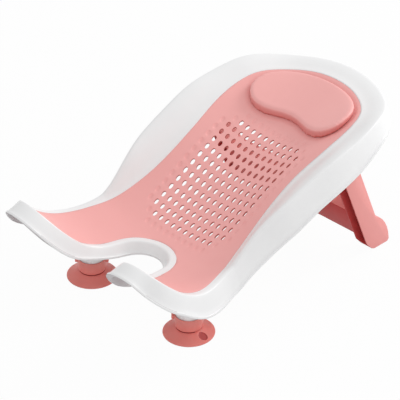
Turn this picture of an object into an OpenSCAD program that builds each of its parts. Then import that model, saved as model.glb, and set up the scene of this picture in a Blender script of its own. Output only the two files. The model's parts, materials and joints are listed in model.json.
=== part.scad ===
// Baby bath seat: a white rim frame, a perforated pink liner, a headrest pad,
// two suction cups under the thigh lobes and a folding rear leg.
// Axes: X to the side, Y from the feet to the head, Z up.
// Origin: on the floor, half way between the two suction cups.

/* [Seat shape] */
// Distance from the line of the cups to the head end of the liner
head_reach = 395; // [380:5:410]
// Distance from the line of the cups to the front of the thigh lobes of the liner
lobe_reach = 99; // [94:1:104]
// Height of the liner at its lowest place
seat_z = 74; // [72:1:78]
// Height of the liner at its head end
head_z = 203; // [197:1:209]
// Rise of the thigh lobes over the lowest place
lobe_rise = 72; // [64:1:76]
// Depth of the trough across the liner
trough = 26; // [22:1:28]
// Half width of the liner at the thighs
thigh_half = 138.5; // [136:0.5:141]
// Half width of the liner at the waist
waist_half = 99; // [97:0.5:101]
// Half width of the liner at the head
head_half = 104.5; // [102:0.5:107]
// Radius of the round notch between the thighs
notch_r = 54.5; // [52:0.5:57]
// How far each side of the notch turns outward toward the front of the lobes
notch_flare = 8; // [5:0.5:10]

/* [Frame] */
// Wall thickness of the frame
wall = 2.6; // [2.2:0.1:3]
// Width of the sloping inner wall beside the back
wall_reach = 42; // [40:1:44]
// Height of the sloping inner wall beside the back
wall_rise = 29; // [26:1:32]
// Width of the rim round the lobes and the notch
rim_w = 8; // [7:0.5:9]
// Depth of the outer skirt beside the back
skirt_deep = 53; // [48:1:55]
// Depth of the outer skirt round the thigh lobes
skirt_front = 26; // [23:0.5:28]
// Depth of the skirt round the notch
skirt_notch = 15; // [13:0.5:18]
// Depth of the outer skirt at the head end
skirt_head = 24; // [22:0.5:27]
// How far the skirt flares out below the crest
flare = 10; // [8.5:0.5:11.5]
// Width of the ledge that carries the liner
ledge = 7; // [6:0.5:8]
// Play between pieces that seat on each other
play = 0.3; // [0.2:0.05:0.4]

/* [Liner] */
// Thickness of the liner
liner_t = 2.6; // [2.2:0.1:3]
// Holes in one full row
hole_columns = 12; // [8:2:12]
// Rows of holes
hole_rows = 13; // [9:1:13]
// Distance between holes across the seat
hole_pitch_x = 12.1; // [11:0.1:12.4]
// Distance between rows along the seat
hole_pitch_y = 14.5; // [13:0.1:14.7]
// Width of one oval hole
hole_w = 5.6; // [4.5:0.1:6.5]
// Length of one oval hole
hole_len = 9.4; // [8:0.1:10.5]
// Distance of the first row behind the line of the cups
first_row_y = 83.5; // [81:0.5:86]
// Depth of the blind dimples round the holes
dimple = 0.8; // [0.5:0.1:1.2]

/* [Headrest] */
// Half width of the headrest
pillow_half = 86; // [82:1:89]
// Distance from the widest place of the headrest to its top edge
pillow_crown = 66; // [60:1:68]
// Radius of the two lower lobes of the headrest
pillow_lobe = 29; // [26:1:31]
// Depth of the bay between the lower lobes
pillow_bay = 14; // [10:1:18]
// Height of the headrest at its lower edge
pillow_t = 14; // [11:0.5:17]
// Margin between the headrest and the head end of the liner
pillow_margin = 11; // [9:0.5:14]
// Depth of the pocket that holds the headrest
pocket = 1; // [0.6:0.1:1.4]

/* [Suction cups] */
// Distance of a cup's middle outward from the middle of its thigh lobe
cup_out = -2.5; // [-5:0.5:0]
// Radius of the flange of a cup
cup_r = 36.5; // [34:0.5:39]
// Radius of the neck of a cup
neck_r = 20.5; // [19:0.5:21.5]
// Height of the top of the neck
neck_top = 31.5; // [30:0.5:34]
// Height at which the flange meets the neck
cone_top = 10.5; // [9:0.5:12]
// Wall thickness of the neck round its socket
neck_wall = 1.5; // [1.2:0.1:2]
// Depth of the socket in the neck
socket = 9; // [7:0.5:11]
// How far the two pull tabs stand out from the neck
tab_out = 3.5; // [3:0.5:5]

/* [Folding leg] */
// Distance of the leg's outer faces inward from the crest of the frame
leg_in = 1.8; // [1.5:0.1:3]
// Width of one arm seen from the side
arm_w = 31; // [29:0.5:32]
// Depth of one arm from its outer to its inner face
arm_t = 22; // [19:0.5:23]
// Wall thickness of the leg's channels
leg_wall = 2.4; // [2:0.1:2.8]
// Depth of the hinge axis below the edge of the liner
hinge_drop = 20.6; // [19.5:0.1:22]
// Distance of the hinge axis from the head end of the liner
hinge_back = 122.5; // [120:0.5:125]
// Lean of the open leg from upright
leg_lean = 22.8; // [21:0.1:24]
// Radius of the hinge studs
stud_r = 6; // [5:0.25:6.5]
// Height of the crossbar
bar_h = 52; // [46:1:56]
// Distance of the crossbar's lower side from the sole, along the arm
bar_up = 34; // [30:0.5:38]
// How far the heel reaches behind the middle of the arm at the floor
heel = 25; // [23:0.5:27]
// Height of the foot's round heel
foot_h = 62; // [56:1:66]
// Thickness of the hinge bearings' plates
plate_t = 4; // [3:0.5:4.5]

/* [Hidden] */
white = [0.92, 0.92, 0.92];
pink = [0.93, 0.66, 0.64];
deep_pink = [0.85, 0.47, 0.45];
eps = 0.01;

// Value at y of a smooth curve through [y, value] stations
function last(list) = list[len(list) - 1];
function place(s, y, i = 1) = (i >= len(s) - 1 || y < s[i][0]) ? i : place(s, y, i + 1);
function grade(s, i) =
    let (a = max(i - 1, 0), b = min(i + 1, len(s) - 1))
    (s[b][1] - s[a][1]) / (s[b][0] - s[a][0]);
function hermite(a, b, ga, gb, h, t) =
    a * (2 * pow(t, 3) - 3 * t * t + 1) + b * (3 * t * t - 2 * pow(t, 3))
    + ga * h * (pow(t, 3) - 2 * t * t + t) + gb * h * (pow(t, 3) - t * t);
function along(s, y) =
    y <= s[0][0] ? s[0][1] :
    y >= last(s)[0] ? last(s)[1] :
    let (i = place(s, y), h = s[i][0] - s[i - 1][0], t = (y - s[i - 1][0]) / h)
    hermite(s[i - 1][1], s[i][1], grade(s, i - 1), grade(s, i), h, t);
function mix(a, b, t) = a + (b - a) * t;
function swell(t) = t * t * (3 - 2 * t);
function unit(v) = v / norm(v);

// The spine: height of the liner in the middle plane
dip_y = 25;
spine_back = [
    [dip_y, seat_z],
    [0.15 * head_reach, mix(seat_z, head_z, 0.012)],
    [0.30 * head_reach, mix(seat_z, head_z, 0.163)],
    [0.51 * head_reach, mix(seat_z, head_z, 0.465)],
    [0.66 * head_reach, mix(seat_z, head_z, 0.643)],
    [0.81 * head_reach, mix(seat_z, head_z, 0.775)],
    [head_reach, head_z]
];
function lobe_share(y) = max(dip_y - y, 0) / (dip_y + lobe_reach);
function spine(y) = y > dip_y ? along(spine_back, y) : seat_z + lobe_rise * pow(lobe_share(y), 2.5);

// How much the edge of the liner stands above the spine
trough_depth = [
    [-0.25 * head_reach, 0.50 * trough],
    [-0.05 * head_reach, 0.65 * trough],
    [0.20 * head_reach, 0.77 * trough],
    [0.40 * head_reach, 0.90 * trough],
    [0.72 * head_reach, trough],
    [0.86 * head_reach, 0.85 * trough],
    [head_reach, 0]
];
// Half width of the liner along the sides
side = [
    [-40, thigh_half],
    [-10, mix(waist_half, thigh_half, 0.91)],
    [40, mix(waist_half, thigh_half, 0.56)],
    [80, mix(waist_half, thigh_half, 0.29)],
    [140, mix(waist_half, thigh_half, 0.04)],
    [0.51 * head_reach, waist_half],
    [0.67 * head_reach, head_half],
    [head_reach, head_half]
];
function edge_z(y) = spine(y) + along(trough_depth, y);
// Height of the liner's upper face, and its slopes
function top_z(x, y) = spine(y) + along(trough_depth, y) * pow(abs(x) / along(side, y), 2.2);
function slope_x(x, y) = top_z(x + 0.5, y) - top_z(x - 0.5, y);
function slope_y(x, y) = top_z(x, y + 0.5) - top_z(x, y - 0.5);
// A wall of thickness t measured straight down
function drop_of(x, y, t) = t * sqrt(1 + pow(slope_x(x, y), 2) + pow(slope_y(x, y), 2));
// A point on the level d below the liner's upper face
function level(x, y, d) = [x, y, top_z(x, y) - drop_of(x, y, d)];

// Rows across the liner, from the head to the front of the lobes, each as
// [inner end, outer end, y] for the right half, with the outline drawn in by g
head_round_y = 0.735 * head_reach;
notch_y = -3;
lobe_y = -50;
lobe_x = (thigh_half + notch_r + notch_flare) / 2;
lobe_a = (thigh_half - notch_r - notch_flare) / 2;
head_steps = 9;
waist_steps = 2;
hip_steps = 2;
notch_steps = 6;
straight_steps = 3;
lobe_steps = 6;
function head_power(v) = pow(max(v, 0), 2 / 2.25);
function head_rows(g) = [for (i = [0:head_steps - 1]) let (a = 4 + 86 * i / head_steps)
    [0, (head_half - g) * head_power(sin(a)),
     head_round_y + (head_reach - g - head_round_y) * head_power(cos(a))]];
// Along the back the rows run half way between the rows of holes
function row_y(k) = first_row_y + k * hole_pitch_y;
back_high = min(row_y(hole_rows - 0.5), head_round_y - 5);
back_low = max(row_y(-0.5), notch_y + notch_r + 5);
function side_row(y, g) = [0, along(side, y) - g, y];
function side_rows(g) = concat(
    [for (i = [0:waist_steps - 1]) side_row(mix(head_round_y, back_high, i / waist_steps), g)],
    [for (i = [0:hole_rows]) side_row(mix(back_high, back_low, i / hole_rows), g)],
    [for (i = [1:hip_steps - 1]) side_row(mix(back_low, notch_y + notch_r + g, i / hip_steps), g)]);
function notch_rows(g) = [for (i = [0:notch_steps - 1])
    let (a = 90 - 90 * i / notch_steps, y = notch_y + (notch_r + g) * sin(a))
    [(notch_r + g) * cos(a), along(side, y) - g, y]];
function straight_rows(g) = [for (i = [0:straight_steps - 1])
    let (y = mix(notch_y, lobe_y, i / straight_steps))
    [notch_r + notch_flare * swell(i / straight_steps) + g, along(side, y) - g, y]];
function lobe_rows(g) = [for (i = [0:lobe_steps]) let (a = 84 * i / lobe_steps)
    [lobe_x - (lobe_a - g) * cos(a), lobe_x + (lobe_a - g) * cos(a),
     lobe_y - (lobe_reach + lobe_y - g) * sin(a)]];
function rows(g) = concat(head_rows(g), side_rows(g), notch_rows(g), straight_rows(g), lobe_rows(g));
apex_row = head_steps + waist_steps + hole_rows + hip_steps;
side_end = apex_row + notch_steps + straight_steps;
last_row = side_end + lobe_steps;

// The outline of the liner as a closed ring: from the head down the right side,
// round the right lobe to the notch, and back up by the left lobe and side
function half_outline() = let (r = rows(0)) concat(
    [for (i = [0:last_row]) [r[i][1], r[i][2]]],
    [for (i = [last_row:-1:apex_row]) [r[i][0], r[i][2]]]);
function ring_of(half) = concat(half, [for (i = [len(half) - 2:-1:0]) [-half[i][0], half[i][1]]]);
half_count = len(half_outline());
rim = ring_of(half_outline());

// Directions of the rim's section at place i: up, and outward
function ring_at(i) = rim[(i + len(rim)) % len(rim)];
function on_top(p) = [p[0], p[1], top_z(p[0], p[1])];
function tangent(i) = unit(on_top(ring_at(i + 1)) - on_top(ring_at(i - 1)));
function edge_slope(y) = (edge_z(y + 2) - edge_z(y - 2)) / 4;
function up_of(y) = unit([0, -edge_slope(y), 1]);
function out_of(i) = unit(cross(up_of(ring_at(i)[1]), tangent(i)));

// Width and height of the inner wall and depth of the skirt along the sides
land_side = [
    [lobe_y, rim_w],
    [30, rim_w],
    [66, mix(rim_w, wall_reach, 0.20)],
    [103, mix(rim_w, wall_reach, 0.50)],
    [150, mix(rim_w, wall_reach, 0.88)],
    [215, wall_reach],
    [0.68 * head_reach, mix(rim_w, wall_reach, 0.88)],
    [0.80 * head_reach, mix(rim_w, wall_reach, 0.75)],
    [head_reach, mix(rim_w, wall_reach, 0.72)]
];
rim_rise = 1.2;
rise_side = [
    [lobe_y, rim_rise],
    [20, rim_rise],
    [54, 0.22 * wall_rise],
    [79, 0.57 * wall_rise],
    [110, 0.93 * wall_rise],
    [140, wall_rise],
    [200, 0.82 * wall_rise],
    [0.63 * head_reach, 0.66 * wall_rise],
    [0.73 * head_reach, 0.42 * wall_rise],
    [0.86 * head_reach, 0.32 * wall_rise],
    [head_reach, 0.20 * wall_rise]
];
drop_side = [
    [lobe_y, mix(skirt_front, skirt_deep, 0.04)],
    [0, mix(skirt_front, skirt_deep, 0.47)],
    [60, mix(skirt_front, skirt_deep, 0.42)],
    [85, mix(skirt_front, skirt_deep, 0.66)],
    [112, mix(skirt_front, skirt_deep, 0.92)],
    [150, skirt_deep],
    [185, mix(skirt_head, skirt_deep, 0.93)],
    [0.65 * head_reach, mix(skirt_head, skirt_deep, 0.88)],
    [0.76 * head_reach, mix(skirt_head, skirt_deep, 0.56)],
    [0.87 * head_reach, mix(skirt_head, skirt_deep, 0.19)],
    [head_reach, skirt_head]
];
function fold_back(i) = i < half_count ? i : 2 * half_count - 2 - i;
function on_side(i) = fold_back(i) <= side_end;
function side_y(i) = on_side(i) ? ring_at(i)[1] : lobe_y;
function land(i) = along(land_side, side_y(i));
function rise(i) = along(rise_side, side_y(i));
function share_of(i, first, end) = min(max((fold_back(i) - first) / (end - first), 0), 1);
function drop(i) = on_side(i) ? along(drop_side, side_y(i)) :
    mix(mix(along(drop_side, lobe_y), skirt_front, share_of(i, side_end, last_row)),
        skirt_notch, swell(share_of(i, last_row + lobe_steps, half_count - 1)));

seat_play = play + 0.1;
crest_fall = 2.6;

// One point of the section, out by b and up by n from the edge of the liner
function at(i, b, n) = on_top(ring_at(i)) + b * out_of(i) + n * up_of(ring_at(i)[1]);
// A point on the level d below the liner, in from its edge by w
function under(i, w, d) =
    let (o = out_of(i), l = norm([o[0], o[1]]), p = ring_at(i) - w * [o[0], o[1]] / max(l, 0.2))
    level(p[0], p[1], d) - [0, 0, seat_play];
crest_out = 4;
lip_h = 3.4;
lip_out = 1.3;
function section(i) =
    let (bc = land(i), nc = rise(i), dp = drop(i), lean = sin(atan2(nc, bc)), foot = bc + flare)
    concat(
        [for (t = [0, 0.3, 0.65, 1]) at(i, bc * t, nc * swell(t))],
        [at(i, bc + 0.6 * crest_out, nc - 0.3 * crest_fall),
         at(i, bc + crest_out, nc - crest_fall),
         at(i, foot, nc - dp + lip_h),
         at(i, foot + lip_out, nc - dp + lip_h - 0.4),
         at(i, foot + lip_out, nc - dp),
         at(i, foot - wall, nc - dp),
         at(i, bc + 0.6 * (crest_out - wall), nc - crest_fall - 0.8 * wall)],
        [for (t = [0.65, 0.3])
            at(i, bc * t + wall * lean * 4 * t * (1 - t), nc * swell(t) - wall * (1 + 0.1 * lean))],
        [under(i, -0.5, liner_t + wall),
         under(i, ledge, liner_t + wall),
         under(i, ledge, liner_t),
         under(i, 0, liner_t)]
    );

// A closed ring of equal sections as one solid
module ring_solid(sections) {
    n = len(sections);
    m = len(sections[0]);
    points = [for (s = sections) each s];
    faces = [for (i = [0:n - 1]) for (j = [0:m - 1])
        let (k = (i + 1) % n, l = (j + 1) % m)
        each [[i * m + j, i * m + l, k * m + l], [i * m + j, k * m + l, k * m + j]]];
    polyhedron(points, faces);
}
// A closed solid between an upper and a lower grid of points with the same rows
module sheet_solid(upper, lower) {
    n = len(upper);
    m = len(upper[0]);
    h = n * m;
    points = concat([for (r = upper) each r], [for (r = lower) each r]);
    quads = concat(
        [for (i = [0:n - 2]) for (j = [0:m - 2]) let (k = i * m + j) [k, k + 1, k + m + 1, k + m]],
        [for (i = [0:n - 2]) for (j = [0:m - 2]) let (k = h + i * m + j) [k + m, k + m + 1, k + 1, k]],
        [for (k = [0:m - 2]) [h + k, h + k + 1, k + 1, k]],
        [for (k = [h - m:h - 2]) [k, k + 1, h + k + 1, h + k]],
        [for (i = [0:n - 2]) let (k = i * m) [k, k + m, h + k + m, h + k]],
        [for (i = [0:n - 2]) let (k = i * m + m - 1) [h + k, h + k + m, k + m, k]]
    );
    polyhedron(points, [for (q = quads) each [[q[0], q[1], q[2]], [q[0], q[2], q[3]]]]);
}
module both_sides() {
    children();
    mirror([1, 0, 0]) children();
}

// Bridge under each thigh lobe, and the boss of the suction cup that it carries
cup_x = lobe_x + cup_out;
boss_r = neck_r - neck_wall - play;
boss_tip = neck_top - socket + play;
bridge_half = boss_r + 9;
bridge_in = 3;
gusset_h = 14;
gusset_l = 9;
function bridge_grid(d) = [for (i = [0:4]) let (y = bridge_half * (1 - i / 2))
    [for (j = [0:5])
        level(mix(notch_r + bridge_in, along(side, y) - bridge_in, j / 5), y, d) - [0, 0, seat_play]]];
function floor_grid(grid) = [for (r = grid) [for (p = r) [p[0], p[1], 0]]];
module bridge() {
    sheet_solid(bridge_grid(liner_t), bridge_grid(liner_t + wall));
}
module below_bridge() {
    sheet_solid(bridge_grid(liner_t + wall / 2), floor_grid(bridge_grid(liner_t)));
}
module cup_boss() {
    intersection() {
        below_bridge();
        translate([cup_x, 0, boss_tip]) difference() {
            cylinder(r = boss_r, h = seat_z + trough, $fn = 32);
            translate([0, 0, -eps]) cylinder(r = boss_r - wall, h = seat_z + trough + 1, $fn = 32);
        }
    }
}
module gussets() {
    intersection() {
        below_bridge();
        for (a = [45:90:315]) translate([cup_x, 0, seat_z - gusset_h - 6]) rotate([0, 0, a]) hull() {
            translate([boss_r - 1, -wall / 2, 0]) cube([1.5, wall, gusset_h + 30]);
            translate([boss_r - 1, -wall / 2, gusset_h]) cube([gusset_l, wall, 30]);
        }
    }
}
module frame() {
    color(white) union() {
        ring_solid([for (i = [0:len(rim) - 1]) section(i)]);
        both_sides() {
            bridge();
            cup_boss();
            gussets();
        }
    }
}

// The headrest: a bean shape, thick at its lower edge and thin at the head.
// Its outline runs from the widest right point over the top to the widest left
// point and back along the lower lobes, with as many points both ways.
pocket_edge = 5;
bean_steps = 16;
pillow_mid = head_reach - pillow_margin - pillow_crown;
pillow_low = pillow_mid - pillow_lobe;
lobe_mid = pillow_half - pillow_lobe;
function bean_top(g) = [for (i = [0:bean_steps]) let (a = 180 * i / bean_steps)
    [(pillow_half + g) * sign(cos(a)) * head_power(abs(cos(a))),
     pillow_mid + (pillow_crown + g) * head_power(sin(a))]];
function bean_lobe(a, g) = [lobe_mid + (pillow_lobe + g) * cos(a), pillow_mid - (pillow_lobe + g) * sin(a)];
function bean_bay(x, g) = [x, pillow_low - g + pillow_bay * (1 + cos(180 * x / lobe_mid)) / 2];
function bean_low(t, g) =
    t < 0.25 ? let (p = bean_lobe(360 * t, g)) [-p[0], p[1]] :
    t > 0.75 ? bean_lobe(360 * (1 - t), g) :
    bean_bay(lobe_mid * (4 * t - 2), g);
function bean(g) = concat(bean_top(g), [for (i = [1:bean_steps - 1]) bean_low(i / bean_steps, g)]);
function pillow_share(y) = min(max((y - pillow_low) / (pillow_crown + pillow_lobe), 0), 1);
function pillow_h(y) = pillow_t * mix(1, 0.45, pillow_share(y));
// One ring of the headrest: drawn out by g, at height h plus the share s of its thickness
function bean_ring(g, h, s) = [for (p = bean(g)) level(p[0], p[1], 0) + [0, 0, h + s * pillow_h(p[1])]];

// A solid of rings, with caps of strips between the paired points of a ring
module bean_solid(rings) {
    n = len(rings);
    m = len(rings[0]);
    up = (n - 1) * m;
    points = [for (r = rings) each r];
    sides = [for (i = [0:n - 2]) for (j = [0:m - 1]) let (a = i * m + j, b = i * m + (j + 1) % m)
        each [[a, a + m, b + m], [a, b + m, b]]];
    strips = [for (j = [0:m / 2 - 1]) let (a = (m - j) % m, b = m - j - 1) each concat(
        j > 0 ? [[up + j, up + a, up + b], [j, b, a]] : [],
        j < m / 2 - 1 ? [[up + j, up + b, up + j + 1], [j, j + 1, b]] : [])];
    polyhedron(points, concat(sides, strips));
}
module headrest() {
    color(pink) bean_solid([
        bean_ring(-14, play - pocket, 0),
        bean_ring(0, play - pocket, 0),
        bean_ring(0, -3.6, 1),
        bean_ring(-1.2, -1.3, 1),
        bean_ring(-4, 0, 1),
        bean_ring(-12, 0.4, 1)
    ]);
}
module headrest_pocket() {
    bean_solid([
        bean_ring(-14, -pocket, 0),
        bean_ring(0, -pocket, 0),
        bean_ring(pocket_edge, -pocket, 0),
        bean_ring(pocket_edge, 4, 0)
    ]);
}

// The liner: a thin sheet that lies on the ledge and the bridges of the frame
// Lines along the seat as shares of the half width; where the sheet is wide they
// keep to the gaps between the columns of holes, counted in pitches from the middle
column_share = [0, 0.22, 0.44, 0.66, 0.83, 1];
column_lines = [0, 2, 4, 6, 7.5, 100];
function row_x(r, j) = min(mix(r[0], r[1], column_share[j]), r[0] + column_lines[j] * hole_pitch_x);
function row_points(r, d) = [for (j = [0:len(column_share) - 1]) level(row_x(r, j), r[2], d)];
function liner_grid(d) = [for (r = rows(play)) row_points(r, d)];
module liner_sheet() {
    both_sides() sheet_solid(liner_grid(0), liner_grid(liner_t));
}
// Holes and dimples lie on one grid; the end rows have two holes less
function column_x(c) = (c - (hole_columns - 1) / 2) * hole_pitch_x;
function is_end(k, n) = k == 0 || k == n - 1;
function is_hole(c, k) = c >= 0 && c < hole_columns && k >= 0 && k < hole_rows
    && !(is_end(c, hole_columns) && is_end(k, hole_rows));
function is_dimple(c, k) = !is_hole(c, k)
    && (is_hole(c - 1, k) || is_hole(c + 1, k) || is_hole(c, k - 1) || is_hole(c, k + 1));
module oval(c, k, w, l, deep, high) {
    x = column_x(c);
    y = row_y(k);
    translate(level(x, y, 0)) rotate([atan(slope_y(x, y)), -atan(slope_x(x, y)), 0])
        translate([0, 0, -deep]) hull() for (s = [-1, 1])
            translate([0, s * (l - w) / 2, 0]) rotate(30) cylinder(r = w / 2, h = deep + high, $fn = 6);
}
module liner() {
    color(pink) difference() {
        liner_sheet();
        for (k = [-1:hole_rows]) for (c = [-1:hole_columns]) {
            if (is_hole(c, k)) oval(c, k, hole_w, hole_len, 3 * liner_t, 3);
            if (is_dimple(c, k)) oval(c, k, hole_w, hole_len, dimple, 3);
        }
        headrest_pocket();
    }
}

// A suction cup with its own middle as origin: hollow flange, cone, neck and socket
foot_r = neck_r - 2.5;
neck_round = 2.5;
lip_t = 1.6;
tab_w = 9;
tab_h = 7;
dome_h = cone_top - 2.5;
function dome_arc(r, h) = [for (i = [0:6]) let (a = 15 * i) [r * cos(a), h * sin(a)]];
module cup() {
    color(deep_pink) {
        rotate_extrude($fn = 72) polygon(concat(
            [[cup_r - 1, 0], [cup_r, 0.6], [cup_r, lip_t]],
            [for (i = [0:4]) let (t = i / 4)
                [mix(cup_r - 0.6, foot_r + 0.5, t), mix(lip_t + 0.5, cone_top, t * (0.8 + 0.2 * t))]],
            [[foot_r - 0.5, cone_top + 0.3], [foot_r - 0.5, cone_top + 1.2]],
            [for (a = [-60:30:0])
                [foot_r - 1 + neck_round * cos(a), cone_top + 1.2 + neck_round * (1 + sin(a))]],
            [[neck_r, neck_top - 9], [neck_r, neck_top - 0.8], [neck_r - 0.5, neck_top]],
            [[neck_r - neck_wall, neck_top], [neck_r - neck_wall, neck_top - socket]],
            [[0, neck_top - socket]],
            [for (i = [6:-1:0]) let (p = dome_arc(cup_r - 3, dome_h)[i]) [i == 6 ? 0 : p[0], p[1]]]
        ));
        for (a = [45, 225]) rotate(a) translate([neck_r - 1, -tab_w / 2, neck_top - tab_h])
            cube([tab_out + 1, tab_w, tab_h - 1.5]);
    }
}
module cup_left() {
    translate([-cup_x, 0, 0]) cup();
}
module cup_right() {
    translate([cup_x, 0, 0]) cup();
}

// Place of the leg's hinge under the frame's sloping inner wall
hinge_y = head_reach - hinge_back;
hinge_z = edge_z(hinge_y) - hinge_drop;
leg_half = along(side, hinge_y) + along(land_side, hinge_y) - leg_in;

// Hinge bearing: two plates with a bore, joined by a web that follows the
// underside of the frame's sloping inner wall
bore_play = 0.15;
bearing_gap = leg_half - arm_t - play;
bearing_in = bearing_gap - plate_t;
bearing_out = leg_half + play + plate_t;
bearing_lean = atan(edge_slope(hinge_y));
bearing_half = 12;
web_low = arm_w / 2 + 2;
web_mid = mix(bearing_in, bearing_out, 0.4);
web_out = bearing_out - 3.6;
web_high = 25;
// Underside of the sloping wall: its depth below the crest's line, its height above
// the floor, and its height in the bearing's own frame at both ends of the web
function wall_n(t, n) = t < 0.65 ? n * swell(t) - 1.15 * wall :
    mix(n * swell(0.65) - 1.15 * wall, n - crest_fall - 0.8 * wall, (t - 0.65) / 0.37);
function wall_share(x, y) = (x - along(side, y)) / along(land_side, y);
function wall_low(x, y) = edge_z(y)
    + sqrt(1 + pow(edge_slope(y), 2)) * wall_n(wall_share(x, y), along(rise_side, y));
function wall_h(x, v) = let (y = hinge_y + v * cos(bearing_lean) - web_high * sin(bearing_lean))
    (wall_low(x, y) - hinge_z - v * sin(bearing_lean)) / cos(bearing_lean);
function seat_h(x) = min(wall_h(x, -bearing_half), wall_h(x, bearing_half)) - play - 0.4;
module bearing() {
    color(white) translate([0, hinge_y, hinge_z]) rotate([bearing_lean, 0, 0]) difference() {
        union() {
            for (x = [bearing_in, leg_half + play]) translate([x, 0, 0]) rotate([0, 90, 0])
                cylinder(r = bearing_half, h = plate_t, $fn = 48);
            intersection() {
                translate([bearing_in, -bearing_half, 0])
                    cube([bearing_out - bearing_in, 2 * bearing_half, 60]);
                translate([0, bearing_half, 0]) rotate([90, 0, 0]) linear_extrude(2 * bearing_half)
                    polygon([
                        [bearing_in, 0],
                        [bearing_gap, 0],
                        [bearing_gap, web_low],
                        [leg_half + play, web_low],
                        [leg_half + play, 0],
                        [bearing_out, 0],
                        [bearing_out, stud_r],
                        [web_out, seat_h(web_out)],
                        [web_mid, seat_h(web_mid)],
                        [bearing_in, seat_h(bearing_in)]
                    ]);
            }
        }
        translate([bearing_in - 1, 0, 0]) rotate([0, 90, 0])
            cylinder(r = stud_r + bore_play, h = bearing_out - bearing_in + 2, $fn = 48);
    }
}
module bearing_left() {
    mirror([1, 0, 0]) bearing();
}
module bearing_right() {
    bearing();
}

// The leg, one moulding: two channel arms with studs and feet, joined by a crossbar
sole_y = hinge_y + hinge_z * tan(leg_lean);
arm_long = hinge_z / cos(leg_lean);
arm_solid = 16.5;
channel_low = 14;
heel_in = 31;
sole_round = 5;
bar_in = 1.5;
toe_cut = [[-24, 16], [-11.5, 2.4], [-6.5, 0], [-6.5, -20], [-60, -20], [-60, 16]];
gusset_places = [67, 114];
gusset_t = 1.2;
function heel_arc() = [for (a = [5:10:75])
    [sole_y - heel_in + (heel + heel_in) * cos(a), foot_h * sin(a)]];
function sole_arc() = [for (a = [-90:30:0])
    [sole_y + heel - sole_round * (1 - cos(a)), sole_round * (1 + sin(a))]];
// Side view of an arm with its round hinge end, heel and chamfered toe
module arm_side() {
    difference() {
        union() {
            translate([hinge_y, hinge_z]) rotate(leg_lean) {
                circle(r = arm_w / 2, $fn = 48);
                translate([-arm_w / 2, -arm_long - 20]) square([arm_w, arm_long + 20]);
            }
            polygon(concat([[sole_y - 4, 30], [sole_y - 4, 0]], sole_arc(), heel_arc()));
        }
        translate([sole_y - 100, -60]) square([200, 60]);
        polygon([for (p = toe_cut) [sole_y + p[0], p[1]]]);
    }
}
module on_arm() {
    translate([0, hinge_y, hinge_z]) rotate([leg_lean, 0, 0]) children();
}
module arm() {
    inner = leg_half - arm_t;
    half = arm_w / 2;
    channel = arm_long - channel_low - arm_solid;
    difference() {
        translate([inner, 0, 0]) rotate([90, 0, 90]) linear_extrude(arm_t) arm_side();
        on_arm() translate([inner + leg_wall, -half - 1, -arm_solid - channel])
            cube([arm_t - 2 * leg_wall, arm_w + 1 - leg_wall, channel]);
    }
    // Gussets between the outer wall and the web, and the hinge stud
    on_arm() {
        for (s = gusset_places) translate([leg_half - leg_wall + 0.5, half - leg_wall + 0.5, -s])
            linear_extrude(gusset_t) polygon([[0, 0], [0, -18], [-arm_t / 3, 0]]);
        translate([bearing_in, 0, 0]) rotate([0, 90, 0])
            cylinder(r = stud_r, h = bearing_out - bearing_in, $fn = 48);
    }
}
// The crossbar between the arms: front and top plates, with a lower flange
module crossbar() {
    front = arm_w / 2 - bar_in;
    low = -arm_long + bar_up;
    wide = leg_half - arm_t + 1;
    difference() {
        translate([-wide, -front, low]) cube([2 * wide, 2 * front, bar_h]);
        translate([-wide - 1, -front + leg_wall, low + leg_wall])
            cube([2 * wide + 2, 2 * front, bar_h - 2 * leg_wall]);
    }
}
module leg() {
    color(deep_pink) {
        both_sides() arm();
        on_arm() crossbar();
    }
}

frame();
liner();
headrest();
cup_left();
cup_right();
bearing_left();
bearing_right();
leg();
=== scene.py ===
# %% [markdown]
# # A baby bath seat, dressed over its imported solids
# The seat is a white moulded rim that carries a perforated pink liner, a bean-shaped
# headrest pad, two suction cups and a folding rear leg. The solids already have the right
# sizes and places, so each step below takes one of them as its guide and gives it the
# soft edges, smooth curves and plastic finishes of the real mouldings.

import json
import math

import bmesh
import bpy
from mathutils import Matrix, Vector
from mathutils.bvhtree import BVHTree

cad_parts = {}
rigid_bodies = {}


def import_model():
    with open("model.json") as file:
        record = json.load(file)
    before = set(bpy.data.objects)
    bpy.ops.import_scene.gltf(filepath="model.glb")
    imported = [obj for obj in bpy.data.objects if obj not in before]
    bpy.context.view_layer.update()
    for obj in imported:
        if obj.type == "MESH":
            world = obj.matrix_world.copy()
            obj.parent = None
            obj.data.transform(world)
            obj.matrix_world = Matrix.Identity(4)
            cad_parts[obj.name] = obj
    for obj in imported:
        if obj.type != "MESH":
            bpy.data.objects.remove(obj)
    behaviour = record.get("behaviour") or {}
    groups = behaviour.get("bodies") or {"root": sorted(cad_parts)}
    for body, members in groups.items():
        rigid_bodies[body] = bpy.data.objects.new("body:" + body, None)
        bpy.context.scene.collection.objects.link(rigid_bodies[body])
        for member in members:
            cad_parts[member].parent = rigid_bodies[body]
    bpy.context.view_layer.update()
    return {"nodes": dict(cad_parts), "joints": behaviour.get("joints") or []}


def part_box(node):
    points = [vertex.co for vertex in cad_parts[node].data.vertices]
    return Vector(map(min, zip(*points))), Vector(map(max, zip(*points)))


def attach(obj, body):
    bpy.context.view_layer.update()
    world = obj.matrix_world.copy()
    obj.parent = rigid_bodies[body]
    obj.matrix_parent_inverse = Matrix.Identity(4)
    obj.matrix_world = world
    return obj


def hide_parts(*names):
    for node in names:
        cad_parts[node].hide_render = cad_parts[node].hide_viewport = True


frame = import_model()
MM = 0.001
seat_body = frame["joints"][0]["parent"]
leg_body = frame["joints"][0]["child"]

# %% [markdown]
# ## The camera
# The photograph looks down on the seat from the front right, from far away through a long
# lens. The camera sits on a sphere round a point near the middle of the seat. Azimuth,
# elevation, distance and lens were fitted to the outlines, so the frame matches.

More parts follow.
